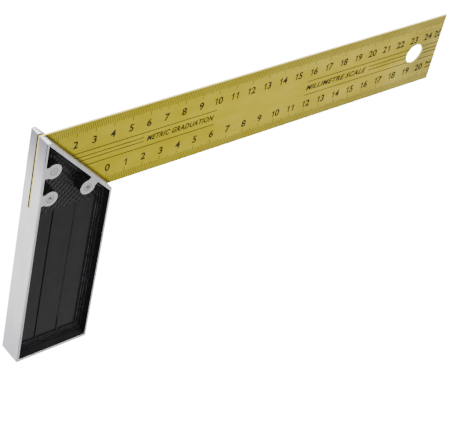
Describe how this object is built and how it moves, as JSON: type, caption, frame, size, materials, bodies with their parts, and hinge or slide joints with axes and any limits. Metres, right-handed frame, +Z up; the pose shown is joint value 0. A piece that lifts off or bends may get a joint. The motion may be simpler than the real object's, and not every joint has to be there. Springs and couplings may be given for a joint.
{
  "type": "try square",
  "caption": "Try square: a flat graduated blade let at a right angle into a thick stock with a 45 degree shoulder, recessed faces and flush rivets; a hang hole near the blade's free end",
  "frame": {"origin": "inside corner of the right angle: where the blade's lower edge leaves the stock's inner face, at the middle of the blade's thickness", "axes": "+X along the blade away from the stock, +Z up the stock towards the blade, -Y the front face; the square stands upright on the end of its stock"},
  "size_m": [0.25, 0.013, 0.131],
  "materials": {
    "stock": "die-cast aluminium, ground bright on the rims, outer faces and lugs, black paint in the recesses",
    "blade": "hardened steel strip with yellow lacquered faces and bare edges, dark printed scales",
    "rivet": "aluminium, ground level with the lug"
  },
  "bodies": {
    "root": {"stock": "stock", "blade": "blade", "rivet_upper": "rivet", "rivet_lower": "rivet", "rivet_inner": "rivet"}
  },
  "joints": []
}
